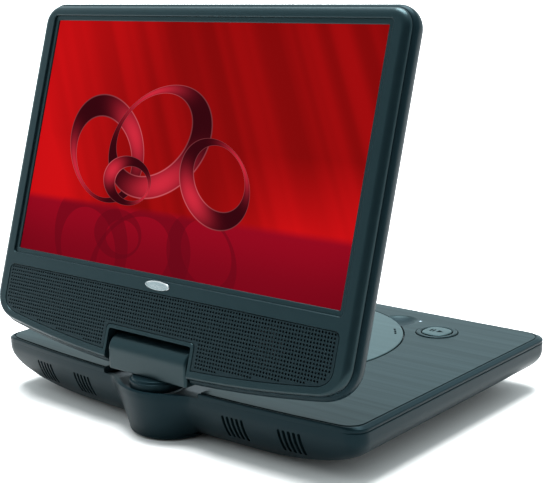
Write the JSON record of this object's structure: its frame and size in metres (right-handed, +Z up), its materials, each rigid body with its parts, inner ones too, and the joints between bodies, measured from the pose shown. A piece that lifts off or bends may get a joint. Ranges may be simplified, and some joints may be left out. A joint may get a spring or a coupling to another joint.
{
  "type": "portable disc player",
  "caption": "Flat portable disc player with a wide screen on a swivel and tilt hinge, a round disc lid, a round control pad and side sockets.",
  "frame": {"origin": "centre of the bounding box on the plane that the feet rest on", "axes": "+Z up; +Y from the hinge end of the base to its far edge; +X to the right of someone who looks at the screen along +Y"},
  "size_m": [0.249, 0.196, 0.2115],
  "materials": {
    "shell_plastic": "fine satin moulded texture",
    "deck_plastic": "satin with a fine brushed grain along X",
    "lid_plastic": "smooth satin",
    "dark_plastic": "plain black",
    "screen_face": null,
    "steel": "plain steel",
    "circuit_board": "solder mask",
    "battery_wrap": "shrink film",
    "foot_rubber": "soft black rubber",
    "badge_trim": "bright oval outline, blank",
    "clear_lens": "clear",
    "brass_screw": "plain",
    "hub_plastic": "light moulded plastic"
  },
  "bodies": {
    "base": {"bottom_shell": "shell_plastic", "pedestal_rim": "shell_plastic", "pedestal_foot": "shell_plastic", "top_deck": "shell_plastic", "deck_panel": "deck_plastic", "hinge_seat": "dark_plastic", "disc_tray": "dark_plastic", "tray_floor": "dark_plastic", "drive_chassis": "steel", "spindle_motor": "steel", "guide_rods": "steel", "sled_motor": "steel", "main_board": "circuit_board", "key_board": "circuit_board", "battery_pack": "battery_wrap", "feet": "foot_rubber", "case_screws": "steel", "swivel_bushing": "steel", "status_led": "clear_lens", "lid_pins": "steel", "lid_catch": "dark_plastic", "phone_jack_near": "dark_plastic", "phone_jack_far": "dark_plastic", "av_jack": "dark_plastic", "dc_jack": "dark_plastic", "usb_port": "steel", "card_slot": "dark_plastic"},
    "swivel": {"hinge_cover_front": "shell_plastic", "hinge_cover_back": "shell_plastic", "swivel_collar": "shell_plastic", "swivel_bracket": "steel", "swivel_clip": "steel", "tilt_shaft_left": "steel", "tilt_shaft_right": "steel"},
    "screen": {"front_bezel": "shell_plastic", "back_shell": "shell_plastic", "speaker_grille": "shell_plastic", "speaker_left": "dark_plastic", "speaker_right": "dark_plastic", "lcd_panel": "screen_face", "backlight_tray": "steel", "driver_board": "circuit_board", "badge": "badge_trim", "hinge_lug_left": "steel", "hinge_lug_right": "steel", "screen_screws": "steel"},
    "lid": {"disc_lid": "lid_plastic"},
    "turntable": {"turntable_hub": "hub_plastic"},
    "sled": {"pickup_sled": "dark_plastic", "pickup_lens": "clear_lens"},
    "screw": {"lead_screw": "brass_screw"},
    "ring": {"nav_ring": "deck_plastic"},
    "ok": {"ok_button": "lid_plastic"},
    "power": {"power_switch": "dark_plastic"},
    "volume": {"volume_wheel": "dark_plastic"},
    "key_1": {"key_1": "deck_plastic"},
    "key_2": {"key_2": "deck_plastic"},
    "key_3": {"key_3": "deck_plastic"},
    "key_4": {"key_4": "deck_plastic"},
    "key_5": {"key_5": "deck_plastic"}
  },
  "joints": [
    {"name": "screen_swivel", "type": "hinge", "parent": "base", "child": "swivel", "pos_m": [0, -0.0805, 0.029], "axis": [0, 0, 1], "range_deg": [0, 180]},
    {"name": "screen_tilt", "type": "hinge", "parent": "swivel", "child": "screen", "pos_m": [0, -0.0805, 0.04], "axis": [-1, 0, 0], "range_deg": [-107.5, 72.5]},
    {"name": "lid_hinge", "type": "hinge", "parent": "base", "child": "lid", "pos_m": [0, -0.0532, 0.0274], "axis": [1, 0, 0], "range_deg": [0, 60]},
    {"name": "turntable_spin", "type": "hinge", "parent": "base", "child": "turntable", "pos_m": [0, 0.0118, 0.02], "axis": [0, 0, 1], "continuous": true},
    {"name": "sled_slide", "type": "slide", "parent": "base", "child": "sled", "axis": [0, 1, 0], "range_m": [0, 0.033]},
    {"name": "lead_screw_turn", "type": "hinge", "parent": "base", "child": "screw", "pos_m": [0.022, 0.0248, 0.015], "axis": [0, 1, 0], "range_deg": [0, 3962]},
    {"name": "ring_press", "type": "slide", "parent": "base", "child": "ring", "axis": [0, 0, -1], "range_m": [0, 0.0005], "stiffness_N_per_m": 600},
    {"name": "ok_press", "type": "slide", "parent": "base", "child": "ok", "axis": [0, 0, -1], "range_m": [0, 0.0006], "stiffness_N_per_m": 600},
    {"name": "key_1_press", "type": "slide", "parent": "base", "child": "key_1", "axis": [0, 0, -1], "range_m": [0, 0.0006], "stiffness_N_per_m": 500},
    {"name": "key_2_press", "type": "slide", "parent": "base", "child": "key_2", "axis": [0, 0, -1], "range_m": [0, 0.0006], "stiffness_N_per_m": 500},
    {"name": "key_3_press", "type": "slide", "parent": "base", "child": "key_3", "axis": [0, 0, -1], "range_m": [0, 0.0006], "stiffness_N_per_m": 500},
    {"name": "key_4_press", "type": "slide", "parent": "base", "child": "key_4", "axis": [0, 0, -1], "range_m": [0, 0.0006], "stiffness_N_per_m": 500},
    {"name": "key_5_press", "type": "slide", "parent": "base", "child": "key_5", "axis": [0, 0, -1], "range_m": [0, 0.0006], "stiffness_N_per_m": 500},
    {"name": "power_slide", "type": "slide", "parent": "base", "child": "power", "axis": [0, 1, 0], "range_m": [0, 0.0068]},
    {"name": "volume_turn", "type": "hinge", "parent": "base", "child": "volume", "pos_m": [-0.1164, -0.0575, 0.02], "axis": [0, 0, 1], "range_deg": [0, 280]}
  ],
  "couplings": [
    {"joint": "lead_screw_turn", "follows": "sled_slide", "rad_per_m": 2094.4}
  ]
}
